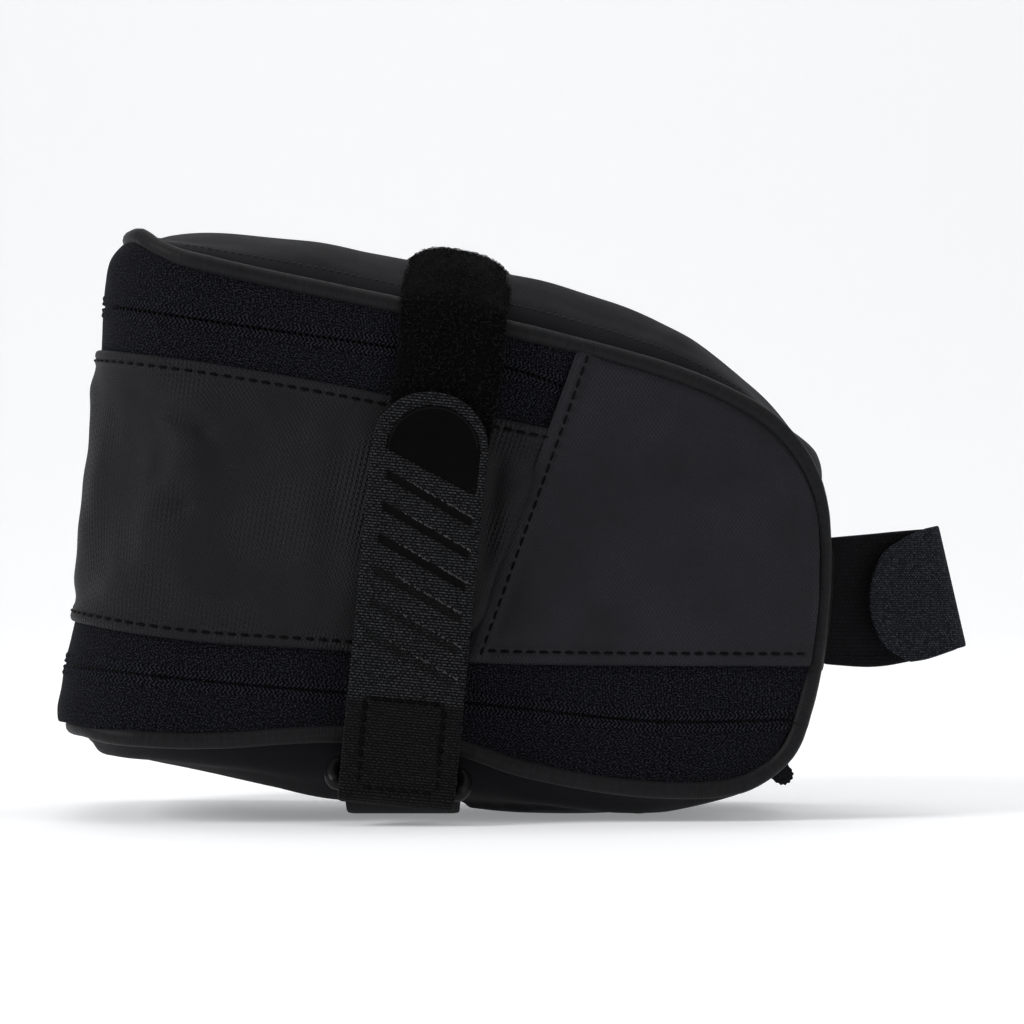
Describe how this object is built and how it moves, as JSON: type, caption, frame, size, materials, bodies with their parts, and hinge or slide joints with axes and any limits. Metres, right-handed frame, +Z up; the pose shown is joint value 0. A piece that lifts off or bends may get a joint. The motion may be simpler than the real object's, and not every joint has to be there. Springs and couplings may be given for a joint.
{
  "type": "saddle bag",
  "caption": "Wedge-shaped bicycle saddle bag with two wrap-round zips, piped edges, a hook-and-loop strap over the saddle rails and a second strap for the seatpost.",
  "frame": {"origin": "on the ground under the middle of the whole, as the bag stands on its bottom panel", "axes": "+X forwards, towards the seatpost; +Z up; -Y is the side with the strap's free end, the bag's right"},
  "size_m": [0.2052, 0.093, 0.1319],
  "materials": {
    "laminate": "matt black polyester with a soft coated face and a fine dobby grain",
    "zip_tape": "matt blue-black knitted zip tape",
    "piping": "satin black laminate wrapped round a cord",
    "coil": "black nylon coil",
    "pile": "deep black napped loop tape",
    "hooks": "black nylon hook tape",
    "webbing": "charcoal woven tape with lighter flecks",
    "grip": "gloss black moulded rubber",
    "plastic": "black acetal with a soft shine",
    "metal": "black painted zinc",
    "foam": "dark grey closed-cell foam with a fabric face"
  },
  "bodies": {
    "shell": {"main_panel": "laminate", "front_side_panel_right": "laminate", "front_side_panel_left": "laminate", "top_panel": "laminate", "front_panel": "laminate", "top_zip_tape_upper": "zip_tape", "top_zip_tape_lower": "zip_tape", "main_zip_tape_upper": "zip_tape", "top_zip_coil_upper": "coil", "top_zip_coil_lower": "coil", "main_zip_coil_upper": "coil", "side_foam": "foam", "piping_upper": "piping", "post_strap_patch": "webbing", "loop_strap_anchor": "pile"},
    "tray": {"bottom_panel": "laminate", "piping_lower": "piping", "main_zip_tape_lower": "zip_tape", "main_zip_coil_lower": "coil", "bottom_stiffener": "foam", "ring_tab": "webbing", "front_webbing_tab": "webbing"},
    "ring": {"strap_ring": "plastic"},
    "hook_strap_body": {"hook_strap": "webbing", "hook_pad": "hooks", "grip_patch": "grip"},
    "loop_strap_body": {"rail_loop_strap": "pile"},
    "main_slider": {"main_zip_slider": "metal"},
    "main_pull": {"main_zip_pull": "metal"},
    "top_slider": {"top_zip_slider": "metal"},
    "top_pull": {"top_zip_pull": "metal"},
    "post_near": {"post_strap_near": "hooks"},
    "post_end": {"post_strap_end": "webbing"},
    "post_far": {"post_strap_far": "pile"}
  },
  "joints": [
    {"name": "tray_hinge", "type": "hinge", "parent": "shell", "child": "tray", "pos_m": [0.0642, 0.001, 0.022], "axis": [0, -1, 0], "range_deg": [0, 45]},
    {"name": "ring_swing", "type": "hinge", "parent": "tray", "child": "ring", "pos_m": [-0.027, -0.03795, 0.0128], "axis": [0.9954, 0, -0.0958], "range_deg": [0, 35]},
    {"name": "hook_strap_peel", "type": "hinge", "parent": "ring", "child": "hook_strap_body", "pos_m": [-0.0275, -0.04285, 0.00762], "axis": [0.9954, 0, -0.0958], "range_deg": [0, 110]},
    {"name": "loop_strap_swing", "type": "hinge", "parent": "shell", "child": "loop_strap_body", "pos_m": [-0.016, 0.0464, 0.1], "axis": [-1, 0, 0], "range_deg": [0, 90]},
    {"name": "main_zip_slide", "type": "slide", "parent": "shell", "child": "main_slider", "axis": [-0.9952, 0.0716, 0.0668], "range_m": [0, 0.06]},
    {"name": "main_pull_swing", "type": "hinge", "parent": "main_slider", "child": "main_pull", "pos_m": [0.05005, 0.03724, 0.02236], "axis": [0.9952, -0.0716, -0.0668], "range_deg": [0, 150]},
    {"name": "top_zip_slide", "type": "slide", "parent": "shell", "child": "top_slider", "axis": [-0.9827, 0.0784, 0.1678], "range_m": [0, 0.065]},
    {"name": "top_pull_swing", "type": "hinge", "parent": "top_slider", "child": "top_pull", "pos_m": [0.00404, 0.04032, 0.09816], "axis": [0.9827, -0.0784, -0.1678], "range_deg": [0, 150]},
    {"name": "post_near_swing", "type": "hinge", "parent": "shell", "child": "post_near", "pos_m": [0.0703, -0.00465, 0.048], "axis": [0, 0, -1], "range_deg": [0, 60]},
    {"name": "post_end_peel", "type": "hinge", "parent": "post_near", "child": "post_end", "pos_m": [0.0971, -0.00805, 0.0515], "axis": [-0.2368, 0, 0.9716], "range_deg": [0, 150]},
    {"name": "post_far_swing", "type": "hinge", "parent": "shell", "child": "post_far", "pos_m": [0.0703, 0.00655, 0.048], "axis": [0, 0, 1], "range_deg": [0, 60]}
  ],
  "couplings": [
    {"joint": "loop_strap_swing", "follows": "hook_strap_peel", "ratio": 0.8}
  ]
}
